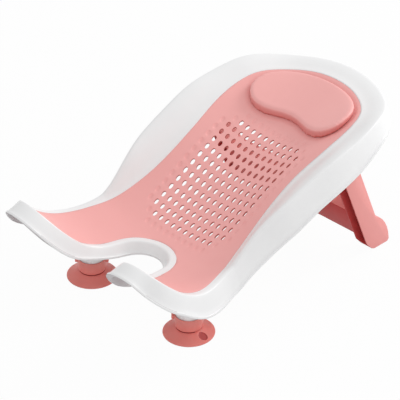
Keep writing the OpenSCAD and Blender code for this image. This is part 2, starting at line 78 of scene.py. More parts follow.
# %% Camera
camera_azimuth = math.radians(45.17)
camera_elevation = math.radians(32.6)
camera_distance = 3.5072
camera_target = Vector((-0.0637, 0.1824, 0.060))
focal_pixels = 2420
frame_pixels = 400

camera_data = bpy.data.cameras.new("camera")
camera_data.sensor_width = 36
camera_data.lens = focal_pixels / frame_pixels * camera_data.sensor_width
camera = bpy.data.objects.new("camera", camera_data)
bpy.context.scene.collection.objects.link(camera)
towards_eye = Vector((
    math.sin(camera_azimuth) * math.cos(camera_elevation),
    -math.cos(camera_azimuth) * math.cos(camera_elevation),
    math.sin(camera_elevation),
))
camera.location = camera_target + towards_eye * camera_distance
camera.rotation_euler = (-towards_eye).to_track_quat("-Z", "Y").to_euler()
bpy.context.scene.camera = camera
bpy.context.scene.view_settings.view_transform = "Standard"
print("camera lens in mm:", round(camera_data.lens, 1))

# %% [markdown]
# ## Helpers for meshes
# A solid from the frame arrives as loose triangles. `copy_of` welds a copy of them so that
# it can be worked on, and `place` turns a finished mesh into an object that rides on its
# body and stands for the solid that it replaces. A subdivision
# surface draws a mesh inwards, so edges that stay crisp are creased, and `pull_to_corners`
# moves the corners out again by a share of what they lost. The full share would overshoot
# and leave kinks.

# %% Mesh helpers
WELD = 0.004 * MM
full_crease_angle = 58
soft_crease = 0.75


def copy_of(node):
    """A welded copy of a solid's mesh, ready for modelling."""
    work = bmesh.new()
    work.from_mesh(frame["nodes"][node].data)
    bmesh.ops.remove_doubles(work, verts=work.verts, dist=WELD)
    return work


def place(work, name, body, stands_for=(), sharp_angle=None):
    """Turns a bmesh into an object that rides on a body."""
    mesh = bpy.data.meshes.new(name)
    work.to_mesh(mesh)
    work.free()
    mesh.shade_smooth()
    if sharp_angle:
        mesh.set_sharp_from_angle(angle=math.radians(sharp_angle))
    piece = bpy.data.objects.new(name, mesh)
    bpy.context.scene.collection.objects.link(piece)
    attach(piece, body)
    if stands_for:
        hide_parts(*stands_for)
    return piece


def smooth_by_subdivision(piece, levels):
    """Adds a Subdivision Surface modifier, the same in the view and the render."""
    modifier = piece.modifiers.new("smooth", "SUBSURF")
    modifier.levels = levels
    modifier.render_levels = levels
    return modifier


def crease_edges(work, angle):
    """Keeps the edges that are sharper than an angle crisp under subdivision."""
    layers = work.edges.layers.float
    crease = layers.get("crease_edge") or layers.new("crease_edge")
    held = 0
    for edge in work.edges:
        bend = edge.calc_face_angle() if len(edge.link_faces) == 2 else 0.0
        if bend > math.radians(angle):
            edge[crease] = 1.0 if bend > math.radians(full_crease_angle) else soft_crease
            held += 1
    return held


def edges_of(work, faces):
    """The edges of some faces, in the mesh's own order, so that each run gives the same mesh."""
    wanted = set(faces)
    return [e for e in work.edges if any(f in wanted for f in e.link_faces)]


def between(value, low, high):
    """Rises smoothly from 0 to 1 as a value goes from low to high."""
    share = max(0.0, min(1.0, (value - low) / (high - low)))
    return share * share * (3 - 2 * share)


def pull_to_corners(piece, rounds, share_at):
    """Moves a subdivided mesh's corners out so that its smooth surface nears their old places."""
    mesh = piece.data
    wanted = [v.co.copy() for v in mesh.vertices]
    for turn in range(rounds):
        smooth = piece.evaluated_get(bpy.context.evaluated_depsgraph_get()).data
        gaps = [aim - smooth.vertices[i].co for i, aim in enumerate(wanted)]
        for v, gap in zip(mesh.vertices, gaps):
            v.co += gap * share_at(v.co)
        mesh.update()
    return max(gap.length for gap in gaps)


# %% [markdown]
# ## Helpers for materials
# A material is written as sums of named signals. `Signal` wraps a node's output, so that
# `1 - noise * 0.2` adds the Math nodes by itself, and `Finish` makes every other node.

# %% Material helpers
class Signal:
    """An output socket whose sums and products are Math nodes."""

    def __init__(self, finish, socket):
        self.finish = finish
        self.socket = socket

    def _math(self, operation, first, second):
        return self.finish.node("ShaderNodeMath", {"operation": operation}, {0: first, 1: second})

    def __add__(self, other):
        return self._math("ADD", self, other)

    def __radd__(self, other):
        return self._math("ADD", other, self)

    def __sub__(self, other):
        return self._math("SUBTRACT", self, other)

    def __rsub__(self, other):
        return self._math("SUBTRACT", other, self)

    def __mul__(self, other):
        return self._math("MULTIPLY", self, other)

    def __rmul__(self, other):
        return self._math("MULTIPLY", other, self)


class Finish:
    """A procedural material with one shader."""

    def __init__(self, name):
        self.material = bpy.data.materials.new(name)
        self.material.use_nodes = True
        self.tree = self.material.node_tree
        self.shader = self.tree.nodes["Principled BSDF"]
        self.place = self.node("ShaderNodeTexCoord", output="Object")

    def link(self, value, socket):
        if isinstance(value, Signal):
            self.tree.links.new(value.socket, socket)
        else:
            socket.default_value = value

    def node(self, kind, settings=None, inputs=None, output=0):
        made = self.tree.nodes.new(kind)
        for key, value in (settings or {}).items():
            setattr(made, key, value)
        for key, value in (inputs or {}).items():
            self.link(value, made.inputs[key])
        return Signal(self, made.outputs[output])

    def noise(self, scale, detail=2.0, rough=0.5):
        return self.node("ShaderNodeTexNoise", {}, {
            "Vector": self.place, "Scale": scale, "Detail": detail, "Roughness": rough,
        })

    def blend(self, share, first, second):
        return self.node("ShaderNodeMix", {"data_type": "RGBA"}, {
            "Factor": share, 6: first, 7: second,
        }, output=2)

    def ramp(self, value, start, end, settings=None):
        """Rises from 0 to 1 as a value goes from start to end."""
        return self.node("ShaderNodeMapRange", settings, {
            "Value": value, "From Min": start, "From Max": end, "To Min": 0.0, "To Max": 1.0,
        })

    def bump(self, height, strength, distance, over=None):
        inputs = {"Height": height, "Strength": strength, "Distance": distance}
        if over is not None:
            inputs["Normal"] = over
        return self.node("ShaderNodeBump", {}, inputs)

    def set(self, **inputs):
        for key, value in inputs.items():
            self.link(value, self.shader.inputs[key.replace("_", " ")])
        return self

    def paint_over(self, share, colour):
        """Lays a second colour over the base colour, by a share that varies over the piece."""
        under = Signal(self, self.shader.inputs["Base Color"].links[0].from_socket)
        return self.set(Base_Color=self.blend(share, under, colour))


def linear(red, green, blue):
    """A colour as the eye reads it, 0 to 255, as the linear values that shaders use."""
    def one(value):
        share = value / 255
        return share / 12.92 if share <= 0.04045 else ((share + 0.055) / 1.055) ** 2.4
    return (one(red), one(green), one(blue), 1.0)


def wear(piece, finish):
    """Gives a piece one material."""
    piece.data.materials.clear()
    piece.data.materials.append(finish.material)


# %% [markdown]
# ## The plastics
# The rim is a white moulding with a satin gloss. Its surface isn't perfect: it flows in
# long soft waves and has a fine grain, and the gloss drifts a little with them. The liner
# and the headrest are a softer pink plastic with a finer, duller skin. The cups and the
# leg are a deeper pink; the cups are rubbery and let a little light through.

# %% One recipe for moulded plastic
flow_scale = 9
cloud_scale = 38
cloud_share = 0.5
flow_share = 0.3
gloss_drift = 0.12
gloss_grain = 0.06


def moulded(name, colour, shade, rough, grain=900, grain_depth=0.02, flow_depth=0.15):
    """Moulded plastic: soft flow waves, fine grain and a slight drift of colour and gloss."""
    finish = Finish(name)
    flow = finish.noise(flow_scale, detail=1.0)
    clouds = finish.noise(cloud_scale, detail=3.0, rough=0.6)
    fine = finish.noise(grain, detail=2.0, rough=0.65)
    skin = finish.bump(fine, 0.22, grain_depth * MM)
    waves = finish.bump(flow, 0.3, flow_depth * MM, over=skin)
    finish.set(
        Base_Color=finish.blend(clouds * cloud_share + flow * flow_share, colour, shade),
        Roughness=rough + (clouds - 0.5) * gloss_drift + (fine - 0.5) * gloss_grain,
        Normal=waves,
    )
    return finish


# %% [markdown]
# ## The finishes, and the shade in the hollows
# In the photograph the hollows are much darker than the light of this scene makes them:
# inside the lobes, on the hole walls, in the leg's channels and in the cups' grooves. The
# real pieces most likely have one colour there too. The extra shade is painted on with
# darker finishes, a stand-in for shadow, and inside the lobes it fades out smoothly.

# %% Finishes
white_plastic = moulded("white_plastic", linear(243, 243, 243), linear(236, 236, 237), 0.34)
white_plastic.set(IOR=1.46, Coat_Weight=0.12, Coat_Roughness=0.2)

# Painted shade: a darker white for the hollow side of the rim, a stand-in for its shadow, that fades
# into the plain white towards the back of the seat.
shade_fades_from = -90 * MM
shade_ends_at = -45 * MM
white_painted_shade = moulded(
    "white_painted_shade", linear(210, 206, 208), linear(202, 198, 200), 0.55, grain=600, grain_depth=0.05,
)
white_painted_shade.set(IOR=1.46, Specular_IOR_Level=0.35)
along_seat = white_painted_shade.node("ShaderNodeSeparateXYZ", {}, {0: white_painted_shade.place}, output="Y")
lit_share = white_painted_shade.ramp(
    along_seat, shade_fades_from, shade_ends_at, {"interpolation_type": "SMOOTHSTEP"},
)
white_painted_shade.paint_over(lit_share, linear(243, 243, 243))

pink_plastic = moulded("pink_plastic", linear(247, 179, 175), linear(243, 171, 168), 0.46, grain=1400)
pink_plastic.set(IOR=1.46)

# Painted shade: a darker pink for the walls of the holes and dimples and the sheet's border, a
# stand-in for their shadow.
pink_painted_shade = moulded("pink_painted_shade", linear(206, 112, 104), linear(196, 102, 96), 0.55, grain=1400)
pink_painted_shade.set(IOR=1.46)

pad_skin = moulded(
    "pad_skin", linear(245, 178, 174), linear(241, 173, 170), 0.52, grain=1700, grain_depth=0.03,
)
pad_skin.set(IOR=1.44, Sheen_Weight=0.06, Sheen_Roughness=0.5)
# Painted shade: where the pad's faces turn from up to down, on its side, the pink is painted darker
# as a stand-in for the side's shadow.
pad_normal = pad_skin.node("ShaderNodeTexCoord", output="Normal")
pad_upward = pad_skin.node("ShaderNodeSeparateXYZ", {}, {0: pad_normal}, output="Z")
pad_skin.paint_over(pad_skin.ramp(pad_upward, 0.45, -0.3), linear(206, 108, 102))

leg_plastic = moulded("leg_plastic", linear(247, 163, 158), linear(242, 156, 152), 0.42)
leg_plastic.set(IOR=1.46)

# Painted shade: a deep red for the leg's channels and the crossbar's front, a stand-in for their
# shadow.
leg_shade = moulded("leg_shade", linear(204, 74, 72), linear(194, 66, 64), 0.5)
leg_shade.set(IOR=1.4, Specular_IOR_Level=0.3)

cup_rubber = moulded("cup_rubber", linear(242, 142, 134), linear(234, 132, 124), 0.36, grain=700)
cup_rubber.set(IOR=1.43, Specular_IOR_Level=0.28, Subsurface_Weight=0.25, Subsurface_Scale=0.012)
cup_rubber.set(Subsurface_Radius=(1.0, 0.35, 0.3))

# A darker rubber for the pressed mark on the right cup; in the groove under each neck the same colour
# is painted shade.
mark_and_groove_shade = moulded(
    "mark_and_groove_shade", linear(186, 78, 76), linear(176, 70, 68), 0.6, grain=500, grain_depth=0.06,
)
mark_and_groove_shade.set(IOR=1.43)
print("finishes:", [m.name for m in bpy.data.materials if m.use_nodes])

# %% [markdown]
# ## The white rim
# The rim is one moulding: a wall that slopes up from the liner, a rounded crest and a
# skirt that flares out below it. The solid has the true section at each place, in flat
# facets. Pairs of triangles are joined back into quads, the edges that are crisp on the
# real moulding are creased, and a subdivision surface rounds everything else. Along the
# inner side of each thigh lobe the real skirt is shallower and shows the boss above the
# cup, and the lobe's tip reaches further forward and up, so both are eased into place.

# %% How the lobes are eased into place
lobes_start = 24 * MM
lobe_centre = 100.5 * MM
inner_side_range = (62 * MM, 82 * MM)
tip_range = (52 * MM, 110 * MM)
lift_places = [
    (-130, 0), (-112, 0), (-99, 1.5), (-80, 3.4), (-60, 5),
    (-40, 7), (-20, 7), (-3, 3.5), (10, 1.5), (24, 0),
]
dip_range = (-40 * MM, 0)
dip_depth = 2 * MM
tip_forward = 5.5 * MM
tip_rise = 5.5 * MM
tip_spread = 2.5 * MM
tip_deepening = 4 * MM


def lift_at(y):
    """How much shallower the skirt is along the inner side of the lobes."""
    place_mm = y / MM
    for (y0, lift0), (y1, lift1) in zip(lift_places, lift_places[1:]):
        if y0 <= place_mm <= y1:
            return (lift0 + (lift1 - lift0) * (place_mm - y0) / (y1 - y0)) * MM
    return 0.0


def inner_side(x):
    """1 along the inner side of a lobe, 0 from the lobe's middle outward."""
    return 1 - between(abs(x), *inner_side_range)


def eased(co, below=0.0):
    """Where a point of the lobes belongs; below runs from 0 at the crest to 1 at the lip."""
    tip = between(-co.y, *tip_range)
    top = 1 - below
    inner = inner_side(co.x)
    sink = dip_depth * inner * (1 - between(co.y, *dip_range)) * (1 - tip)
    return co + Vector((
        math.copysign(tip_spread, co.x) * tip * top,
        -tip_forward * tip * top,
        (tip_rise * top - tip_deepening * below) * tip - sink * top + lift_at(co.y) * inner * below,
    ))


print("largest lift of the skirt in mm:", max(lift for _, lift in lift_places))

# %% [markdown]
# ## How far below the crest a point lies
# The crest and the lip move by different amounts, so each point needs its place between
# them. The liner lies just below the crest, so the closest point of the liner is the
# measure: by height along the notch, where the wall is upright, and by distance outside,
# where it slopes.

# %% Rim
liner_solid = copy_of("liner")
liner_tree = BVHTree.FromBMesh(liner_solid)
notch_side = 66 * MM
upright_wall = (2 * MM, 13 * MM)
sloping_wall = (12 * MM, 26 * MM)
rim_crease_angle = 40


def share_below(co):
    """0 at the crest, 1 at the lip of the skirt."""
    nearest = liner_tree.find_nearest(co)[0]
    if abs(co.x) < notch_side:
        return between(nearest.z - co.z, *upright_wall)
    return between((co - nearest).length, *sloping_wall) if co.z < nearest.z else 0.0


rim_mesh = copy_of("frame")
bmesh.ops.join_triangles(
    rim_mesh,
    faces=rim_mesh.faces,
    angle_face_threshold=math.radians(45),
    angle_shape_threshold=math.radians(70),
)
for v in rim_mesh.verts:
    if v.co.y < lobes_start:
        v.co = eased(v.co, share_below(v.co))
rim_creases = crease_edges(rim_mesh, rim_crease_angle)
rim = place(rim_mesh, "rim_moulding", seat_body, stands_for=["frame"])
smooth_by_subdivision(rim, 2)
rim_miss = pull_to_corners(rim, 2, lambda co: 0.2 + 0.3 * between(-co.y, 20 * MM, 70 * MM))
wear(rim, white_plastic)
print("rim faces before smoothing:", len(rim.data.polygons), "creased edges:", rim_creases)
print("smooth rim passes its corners by mm:", round(rim_miss / MM, 2))

# %% [markdown]
# ## Inside the rim
# The hollow side of the rim takes the darker white, painted shade that stands in for its shadow.
# A face belongs to it when it looks back at the liner from below it, or when it looks down
# from just under the crest. The bosses above the cups are in full view and stay white.

# %% Shade the hollow side
boss_middle = 98 * MM
boss_reach = 29 * MM
looks_back = -0.15
looks_down = -0.2
wall_starts = 2 * MM
ceiling_ends = 9 * MM
# The faces chosen below take the painted shade.
rim.data.materials.append(white_painted_shade.material)
for face in rim.data.polygons:
    nearest = liner_tree.find_nearest(face.center)[0]
    at_boss = (
        abs(abs(face.center.x) - boss_middle) < boss_reach and abs(face.center.y) < boss_reach
    )
    outwards = (face.center - nearest).xy.normalized()
    drop = nearest.z - face.center.z
    inner_wall = face.normal.xy.dot(outwards) < looks_back and drop > wall_starts
    ceiling = face.normal.z < looks_down and drop < ceiling_ends
    if (inner_wall or ceiling) and not at_boss:
        face.material_index = 1
print("faces of the hollow side:", sum(f.material_index for f in rim.data.polygons))

# %% [markdown]
# ## The liner's sheet
# The liner is a thin sheet with a lattice of oval holes and a ring of blind dimples round
# it. A grid whose cells match the lattice is laid out flat and pulled to the liner's
# outline; then it is lifted onto the solid. Each cell of the lattice is inset, its inner
# face drawn to an oval and cut out, so that every hole is a clean ring of quads. This
# keeps all rims smooth, where cutting with a boolean would leave ragged corners.

# %% Outline of a solid, seen from above
def outline_of(solid, upward):
    """The longest border of a solid's upward faces, as segments seen from above."""
    top = {f for f in solid.faces if f.normal.z > upward}
    edges = [
        e for e in solid.edges
        if len(e.link_faces) == 2 and sum(f in top for f in e.link_faces) == 1
    ]
    links = {}
    for e in edges:
        for v in e.verts:
            links.setdefault(v, []).append(e)
    loops, seen = [], set()
    for e in edges:
        if e in seen:
            continue
        found, queue = {e}, [e]
        while queue:
            for v in queue.pop().verts:
                for other in links[v]:
                    if other not in found:
                        found.add(other)
                        queue.append(other)
        loops.append(found)
        seen |= found
    longest = max(loops, key=lambda run: sum(e.calc_length() for e in run))
    return [(e.verts[0].co.xy.copy(), e.verts[1].co.xy.copy()) for e in longest]


def nearest_on(segments, point):
    """The closest place of an outline, seen from above."""
    best, where = 1e9, point
    for a, b in segments:
        along = b - a
        share = max(0.0, min(1.0, (point - a).dot(along) / max(along.length_squared, 1e-12)))
        place_on = a + along * share
        gap = (point - place_on).length
        if gap < best:
            best, where = gap, place_on
    return where


liner_outline = outline_of(liner_solid, 0.45)
pad_solid = copy_of("headrest")
pad_outline = outline_of(pad_solid, 0.05)
pad_tree = BVHTree.FromBMesh(pad_solid)
print("segments in the outlines of liner and pad:", len(liner_outline), len(pad_outline))

# %% [markdown]
# ## The height of the sheet at any place
# A ray from below meets the liner's smooth underside, and one wall thickness above that
# is the upper face. At the very border a ray can just miss the solid, so the next ones
# start a little further in, towards the middle of the sheet.

# %% Height of the liner
liner_thickness = 2.6 * MM
notch_centre_y = -3 * MM
notch_radius = 54.5 * MM
notch_surround = 15 * MM
lobe_middle_y = -55 * MM
head_middle_y = 300 * MM
pulls = (0.0, 0.15, 0.6, 1.5, 3.0)
flat_enough = 0.3
below_floor = -50 * MM


def inward(x, y):
    """The direction from a place near the liner's border to the middle of its sheet."""
    here = Vector((x, y))
    from_notch = Vector((x, y - notch_centre_y))
    if y < notch_centre_y:
        middle = Vector((math.copysign(lobe_centre, x), max(y, lobe_middle_y)))
        return (middle - here).normalized()
    if from_notch.length < notch_radius + notch_surround:
        return from_notch.normalized()
    return (Vector((0.5 * x, min(y, head_middle_y))) - here).normalized()


def liner_height(x, y):
    """Height of the liner's upper face, from its underside, which has no dimples."""
    for pull in pulls:
        spot = Vector((x, y)) + inward(x, y) * pull * MM
        start = Vector((spot.x, spot.y, below_floor))
        hit, normal, _, _ = liner_tree.ray_cast(start, Vector((0, 0, 1)))
        if hit is not None and abs(normal.z) > flat_enough:
            return hit.z + liner_thickness / abs(normal.z)
    return liner_tree.find_nearest(Vector((x, y, 100 * MM)))[0].z


print("height of the seat's middle in mm:", round(liner_height(0, 100 * MM) / MM, 1))

# %% [markdown]
# ## A grid with one cell for each hole
# The lattice keeps its own spacing, one cell for each hole or dimple, and the rows before
# and behind it are spread evenly up to the liner's ends.

# %% Grid that matches the lattice
hole_columns = 12
hole_rows = 13
pitch_x = 12.1 * MM
pitch_y = 14.5 * MM
first_row = 83.5 * MM
side_columns = 3
liner_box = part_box("liner")
lattice_half = (hole_columns + 2) / 2 * pitch_x
lattice_low = first_row - 1.5 * pitch_y
lattice_high = lattice_low + (hole_rows + 2) * pitch_y
rows_low = 12
rows_high = 9
row_low = (lattice_low - liner_box[0].y) / rows_low
row_high = (liner_box[1].y - lattice_high) / rows_high

liner_mesh = bmesh.new()
columns = hole_columns + 2 + 2 * side_columns
rows = rows_low + hole_rows + 2 + rows_high
bmesh.ops.create_grid(liner_mesh, x_segments=columns, y_segments=rows, size=0.5)
for v in liner_mesh.verts:
    column = round((v.co.x + 0.5) * columns) - columns / 2
    row = round((v.co.y + 0.5) * rows)
    v.co.x = column * pitch_x
    if row <= rows_low:
        v.co.y = lattice_low - (rows_low - row) * row_low
    elif row <= rows - rows_high:
        v.co.y = lattice_low + (row - rows_low) * pitch_y
    else:
        v.co.y = lattice_high + (row - rows + rows_high) * row_high
print("grid cells:", len(liner_mesh.faces))

# %% [markdown]
# ## The border
# The cells of the notch are deleted. Then the border is pulled to the outline and evened
# out along it, while the free cells inside relax after it. The lattice never moves.

# %% Cut out the notch and pull the border to the outline
def in_notch(face):
    centre = face.calc_center_median()
    below = centre.y < notch_centre_y and abs(centre.x) < notch_radius
    return below or (centre.xy - Vector((0, notch_centre_y))).length < notch_radius - 1 * MM


bmesh.ops.delete(liner_mesh, geom=[f for f in liner_mesh.faces if in_notch(f)], context="FACES")


def in_lattice(point, margin=0.5 * MM):
    along = lattice_low - margin < point.y < lattice_high + margin
    return abs(point.x) < lattice_half + margin and along


free = [v for v in liner_mesh.verts if not in_lattice(v.co)]
border = [v for v in liner_mesh.verts if v.is_boundary]
ends = {
    v: [e.other_vert(v) for e in v.link_edges if e.is_boundary]
    for v in border
}
inner = [v for v in free if v not in ends]
relax_rounds = 60
relax_share = 0.6
for turn in range(relax_rounds):
    for v in border:
        middle = sum((n.co for n in ends[v]), Vector()) / len(ends[v])
        target = nearest_on(liner_outline, v.co.xy.lerp(middle.xy, 0.5))
        v.co.x, v.co.y = target
    moved = {
        v: sum((e.other_vert(v).co for e in v.link_edges), Vector()) / len(v.link_edges)
        for v in inner
    }
    for v, co in moved.items():
        v.co = v.co.lerp(co, relax_share)
print("border vertices:", len(border), "free inner vertices:", len(inner))

# %% [markdown]
# ## The headrest's seat
# The sheet lies a little lower under the headrest and rises again close to its side,
# which draws the soft dark line round the pad. The cells there are divided in three, or
# the step would be too coarse. Then the whole sheet is lifted onto the solid.

# %% Lift the sheet onto the solid and sink the headrest's seat
moat_starts = 1.5 * MM
moat_width = 6 * MM
moat_depth = 1.3 * MM
fine_reach = 14 * MM
tuck = 0.5 * MM


def near_pad(point, reach):
    """True for a place within reach of the pad's outline."""
    behind = point.y > lattice_high
    return behind and (nearest_on(pad_outline, point.xy) - point.xy).length < reach


def gap_to_pad(point):
    """How far outside the pad's outline a place is, seen from above; none under the pad."""
    if pad_tree.ray_cast(Vector((point.x, point.y, 1)), Vector((0, 0, -1)))[0] is not None:
        return 0.0
    return (nearest_on(pad_outline, point.xy) - point.xy).length


round_pad = [f for f in liner_mesh.faces if near_pad(f.calc_center_median(), fine_reach)]
bmesh.ops.subdivide_edges(
    liner_mesh, edges=edges_of(liner_mesh, round_pad), cuts=2, use_grid_fill=True,
)
border = [v for v in liner_mesh.verts if v.is_boundary]
for v in border:
    v.co.x, v.co.y = nearest_on(liner_outline, v.co.xy)
for v in liner_mesh.verts:
    v.co.z = liner_height(v.co.x, v.co.y)
    if v.co.y > lattice_high:
        v.co.z -= moat_depth * (1 - between(gap_to_pad(v.co), moat_starts, moat_width))
for v in border:
    v.co.xy -= inward(v.co.x, v.co.y) * tuck
for v in liner_mesh.verts:
    if v.co.y < lobes_start:
        v.co = eased(v.co)
print("sheet vertices:", len(liner_mesh.verts), "on the border:", len(border))

# %% [markdown]
# ## Holes and dimples
# An inset makes a frame of quads in each cell. Its inner face is scaled so that the
# subdivision surface, which draws a rectangle in to an oval, ends at the real hole's
# width and length. A dimple is a second inset that is pushed down a little.

# %% Holes and dimples
hole_width = 5.0 * MM
hole_length = 8.3 * MM
dimple_depth = 1.1 * MM
dimple_wall = 0.9 * MM
oval_share = 0.92
rim_inset = 1.2 * MM


def cell_of(face):
    """Column and row of a cell in the lattice, counted from its first hole."""
    centre = face.calc_center_median()
    return round(centre.x / pitch_x + (hole_columns - 1) / 2), round((centre.y - first_row) / pitch_y)


def is_hole(column, row):
    inside = 0 <= column < hole_columns and 0 <= row < hole_rows
    corner = column in (0, hole_columns - 1) and row in (0, hole_rows - 1)
    return inside and not corner


def is_dimple(column, row):
    near = ((column - 1, row), (column + 1, row), (column, row - 1), (column, row + 1))
    return not is_hole(column, row) and any(is_hole(*cell) for cell in near)


def draw_to(face, width, length):
    """Scales a face about its middle to a width and a length."""
    centre = face.calc_center_median()
    span_x = max(v.co.x for v in face.verts) - min(v.co.x for v in face.verts)
    span_y = max(v.co.y for v in face.verts) - min(v.co.y for v in face.verts)
    for v in face.verts:
        offset = v.co - centre
        v.co = centre + Vector((
            offset.x * width / span_x,
            offset.y * length / span_y,
            offset.z * length / span_y,
        ))


lattice_faces = [f for f in liner_mesh.faces if in_lattice(f.calc_center_median(), 0)]
hole_faces = [f for f in lattice_faces if is_hole(*cell_of(f))]
dimple_faces = [f for f in lattice_faces if is_dimple(*cell_of(f))]
bmesh.ops.inset_individual(
    liner_mesh, faces=hole_faces + dimple_faces, thickness=rim_inset, use_even_offset=True,
)
for f in hole_faces + dimple_faces:
    draw_to(f, hole_width / oval_share, hole_length / oval_share)
dimple_walls = bmesh.ops.inset_individual(
    liner_mesh, faces=dimple_faces, thickness=dimple_wall, depth=-dimple_depth,
)["faces"]
# The dimples' walls take the darker pink, painted shade.
for f in dimple_walls:
    f.material_index = 1
bmesh.ops.delete(liner_mesh, geom=hole_faces, context="FACES_ONLY")
print("holes:", len(hole_faces), "dimples:", len(dimple_faces))

# %% [markdown]
# ## The sheet's wall
# A Solidify modifier gives the sheet its thickness downwards and closes every hole with a
# rim, which takes the darker second finish: painted shade for the walls' shadow. The subdivision
# surface then rounds the holes to ovals; half-strong creases keep their edges from melting away.

# %% Give the sheet its thickness
edge_crease = 0.6
bmesh.ops.recalc_face_normals(liner_mesh, faces=liner_mesh.faces)
if sum(f.normal.z for f in liner_mesh.faces) < 0:
    bmesh.ops.reverse_faces(liner_mesh, faces=liner_mesh.faces)
liner = place(liner_mesh, "perforated_liner", seat_body, stands_for=["liner"])
wall = liner.modifiers.new("wall", "SOLIDIFY")
wall.thickness = liner_thickness
wall.offset = -1
wall.use_even_offset = True
# The walls of the holes and the sheet's border take the second material, painted shade.
wall.material_offset_rim = 1
wall.edge_crease_outer = edge_crease
wall.edge_crease_inner = edge_crease
smooth_by_subdivision(liner, 2)
wear(liner, pink_plastic)
liner.data.materials.append(pink_painted_shade.material)
liner_solid.free()
pad_solid.free()
print("sheet faces:", len(liner.data.polygons), "wall in mm:", round(wall.thickness / MM, 1))

# %% [markdown]
# ## The headrest
# The headrest is a foamed pad with a tight skin: a flat top, a soft shoulder and an
# upright side that is tallest at its lower edge. A voxel remesh spreads even faces over
# the solid, and a few rounds of smoothing turn its edges into the soft shoulder.

# %% Headrest
pad_mesh = copy_of("headrest")
pad = place(pad_mesh, "headrest_pad", seat_body, stands_for=["headrest"])
voxels = pad.modifiers.new("even_faces", "REMESH")
voxels.mode = "VOXEL"
voxels.voxel_size = 1.8 * MM
voxels.use_smooth_shade = True
shoulder = pad.modifiers.new("shoulder", "SMOOTH")
shoulder.factor = 0.5
shoulder.iterations = 5
smooth_by_subdivision(pad, 1)
wear(pad, pad_skin)
print("pad faces before the remesh:", len(pad.data.polygons))

# %% [markdown]
# ## The suction cups
# A cup is a body of revolution: a thin hollow flange, a cone, a groove and a neck that
# grips a boss of the rim. One profile is spun once round the cup's axis, so it is written
# as radius and height, from the socket over the neck, the groove and the cone to the
# hollow below. Two pull tabs stand out from the neck, and the right cup has a round
# dimple pressed into its flange.

# %% Profile of a cup
cup_spacing = 196 * MM
cup_steps = 96
flange_radius = 36.5 * MM
neck_radius = 20.5 * MM
neck_top = 31.5 * MM
foot_radius = neck_radius - 2.5 * MM
groove_radius = 15.5 * MM
cone_top = 10.5 * MM
socket_radius = 19 * MM
socket_floor = 22.5 * MM
cone_points = 9
fillet_points = 6
cup_profile = [
    (0, socket_floor), (socket_radius, socket_floor), (socket_radius, neck_top - 0.3 * MM),
    (socket_radius + 0.3 * MM, neck_top), (neck_radius - 0.6 * MM, neck_top),
    (neck_radius - 0.15 * MM, neck_top - 0.3 * MM), (neck_radius, neck_top - 0.9 * MM),
    (neck_radius, socket_floor),
]
for step in range(fillet_points):
    turn = -math.radians(75) * step / (fillet_points - 1)
    cup_profile.append((
        neck_radius - (3.4 - 2.5 * math.cos(turn)) * MM,
        cone_top + (3.7 + 2.5 * math.sin(turn)) * MM,
    ))
cup_profile += [(groove_radius, cone_top + 1.2 * MM), (groove_radius, cone_top + 0.1 * MM)]
for step in range(cone_points):
    share = 1 - step / (cone_points - 1)
    cup_profile.append((
        flange_radius - 0.6 * MM + (foot_radius + 0.5 * MM - flange_radius + 0.6 * MM) * share,
        2.1 * MM + (cone_top - 2.1 * MM) * share * (0.8 + 0.2 * share),
    ))
cup_profile += [
    (flange_radius - 0.15 * MM, 1.9 * MM), (flange_radius, 1.4 * MM), (flange_radius, 0.7 * MM),
    (flange_radius - 0.3 * MM, 0.2 * MM), (flange_radius - 1 * MM, 0.0), (34 * MM, 0.0),
    (33 * MM, 0.6 * MM), (28 * MM, 3.4 * MM), (20 * MM, 5.9 * MM), (10 * MM, 7.5 * MM), (0, 8 * MM),
]
print("points in the cup's profile:", len(cup_profile))

# %% [markdown]
# ## Tabs, the pressed dimple and the finished cup
# A tab is a cube that is stretched, bevelled and turned round the cup's axis. The dimple
# needs smaller faces than the flange has, so those near it are divided before its
# vertices are pushed down.

# %% Cups
tab_reach = (19.5 * MM, 24 * MM)
tab_height = (24.5 * MM, 30 * MM)
tab_width = 9 * MM
tab_round = 1.1 * MM
tab_turns = (45, 225)
mark_place = Vector((26.7 * MM, 0.9 * MM))
mark_radius = 6.5 * MM
mark_depth = 1.4 * MM
mark_margin = 3 * MM
mark_wall = 8
flange_skin = 2.1 * MM
groove_height = 1.6 * MM
cone_end = cone_top + 0.1 * MM


def add_tab(work, turn):
    """A rounded pull tab on the neck, at an angle round the cup's axis."""
    made = bmesh.ops.create_cube(work, size=1)["verts"]
    for v in made:
        v.co.x = tab_reach[0] if v.co.x < 0 else tab_reach[1]
        v.co.y *= tab_width
        v.co.z = tab_height[0] if v.co.z < 0 else tab_height[1]
    corners = edges_of(work, {f for v in made for f in v.link_faces})
    made = bmesh.ops.bevel(
        work, geom=corners, offset=tab_round, affect="EDGES", segments=3, profile=0.5,
        clamp_overlap=True,
    )["verts"]
    turned = Matrix.Rotation(math.radians(turn), 3, "Z")
    bmesh.ops.rotate(work, verts=made, cent=(0, 0, 0), matrix=turned)


def press_mark(work):
    """A shallow round dimple in the upper face of the flange."""
    def close_by(face):
        centre = face.calc_center_median()
        near = (centre.xy - mark_place).length < mark_radius + mark_margin
        return near and face.normal.z > 0.2 and centre.z < cone_end

    near_mark = edges_of(work, [f for f in work.faces if close_by(f)])
    bmesh.ops.subdivide_edges(work, edges=near_mark, cuts=5, use_grid_fill=True)
    for v in work.verts:
        share = (v.co.xy - mark_place).length / mark_radius
        on_flange = flange_skin < v.co.z < cone_end and v.co.xy.length > foot_radius
        if share < 1 and on_flange:
            v.co.z -= mark_depth * (1 - share ** mark_wall)


